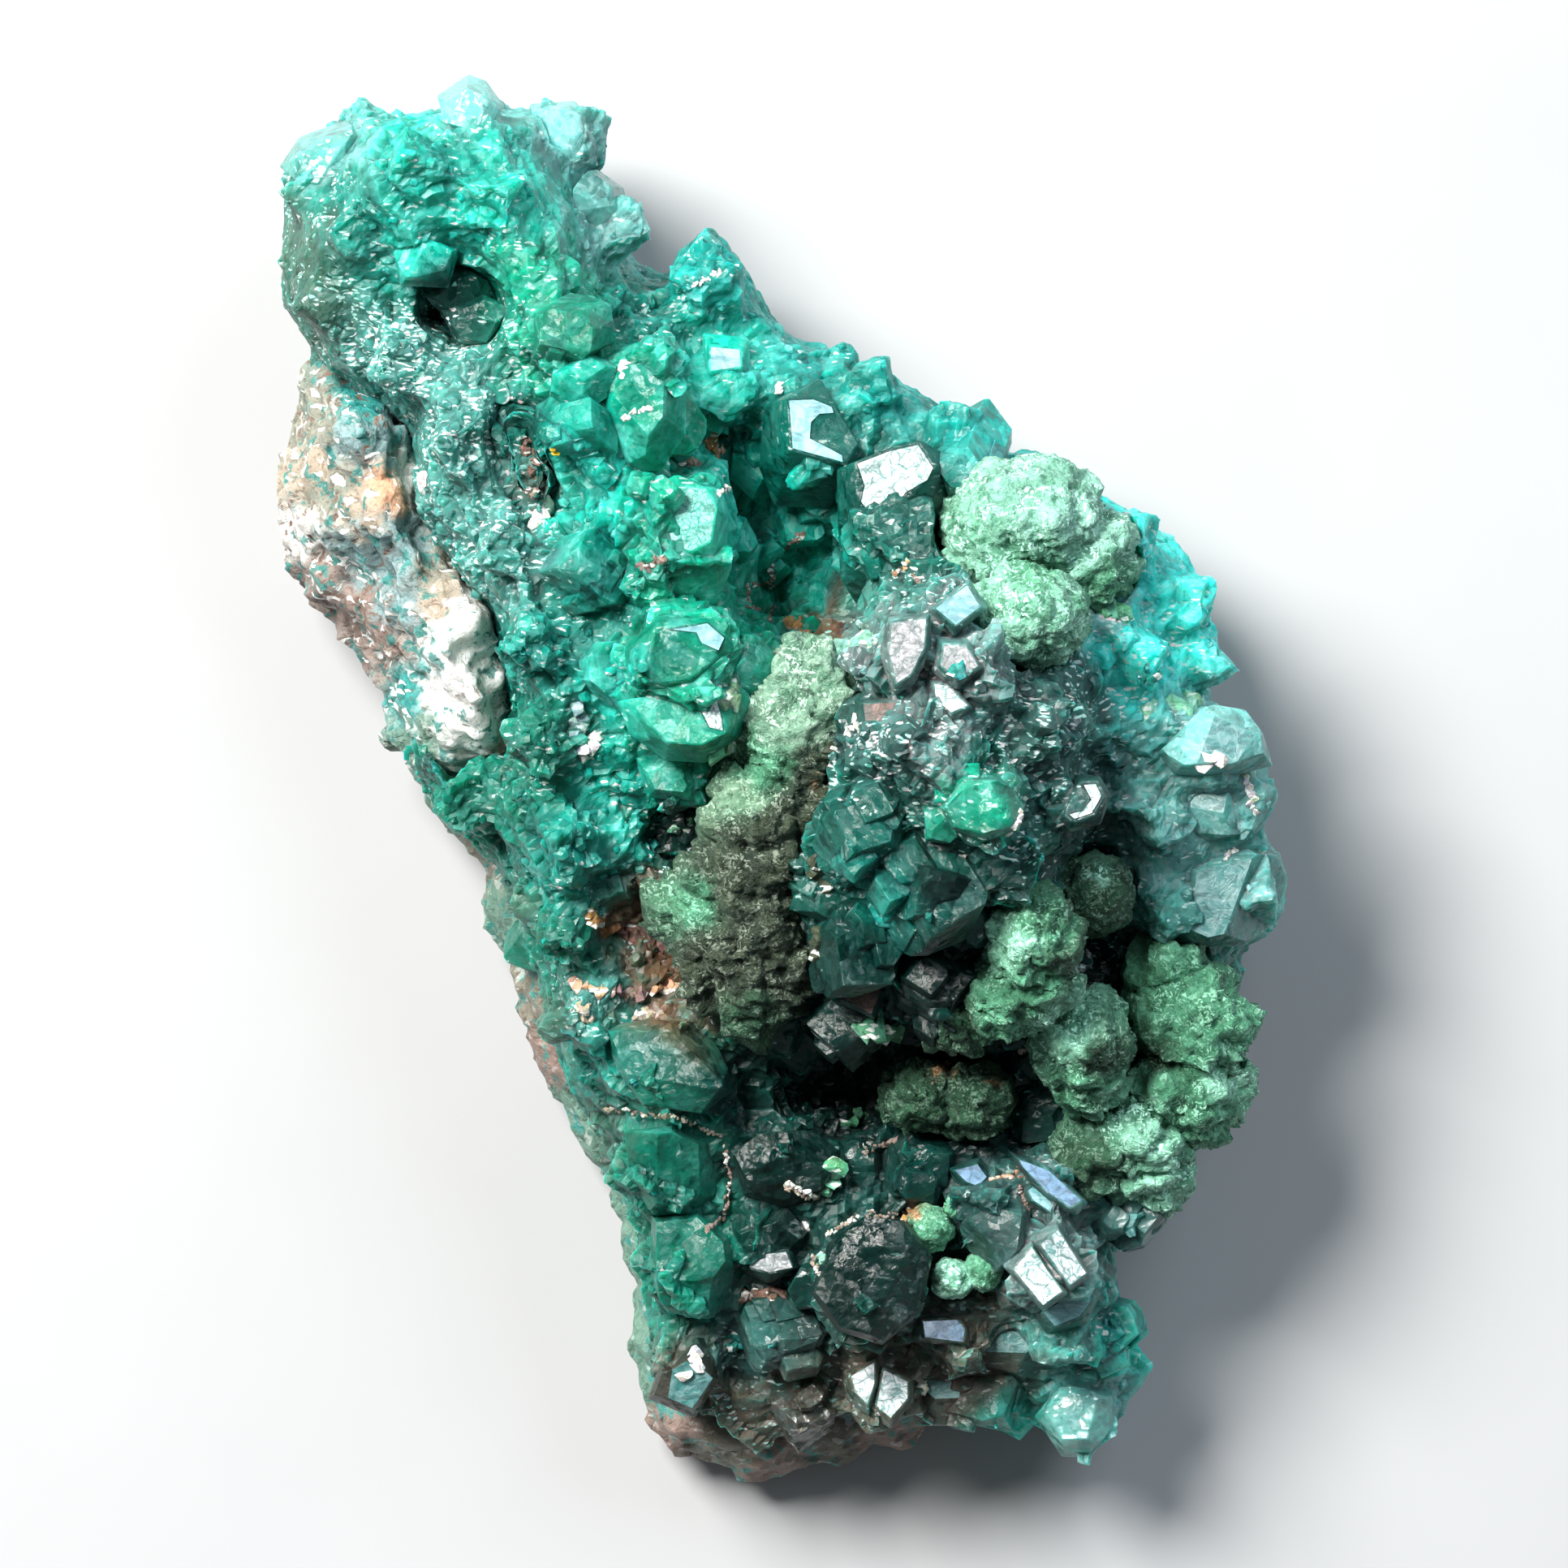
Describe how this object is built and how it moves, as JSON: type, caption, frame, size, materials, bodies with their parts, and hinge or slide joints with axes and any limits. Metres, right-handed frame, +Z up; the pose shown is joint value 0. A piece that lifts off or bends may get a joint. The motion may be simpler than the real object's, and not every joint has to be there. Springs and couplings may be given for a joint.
{
  "type": "dioptase specimen",
  "caption": "natural dioptase specimen: green crystals grown over host rock, with malachite growths, lying on its back for display",
  "frame": {"origin": "centre of the bounding box's bottom, on the surface that the specimen lies on", "axes": "+Y towards the knob at the upper end, +X to the right when seen from above, +Z up out of the crystal face"},
  "size_m": [0.0403, 0.0557, 0.0241],
  "materials": {
    "dioptase": "gloss",
    "host_rock": "satin",
    "malachite": "matte"
  },
  "bodies": {
    "root": {"dioptase": "dioptase", "host_rock": "host_rock", "malachite_upper_mounds": "malachite", "malachite_dark_ball": "malachite", "malachite_middle_lumps": "malachite", "malachite_lower_lump": "malachite", "malachite_right_lumps": "malachite", "malachite_twin_balls": "malachite", "malachite_ridge": "malachite", "malachite_beads": "malachite", "malachite_bead": "malachite"}
  },
  "joints": []
}
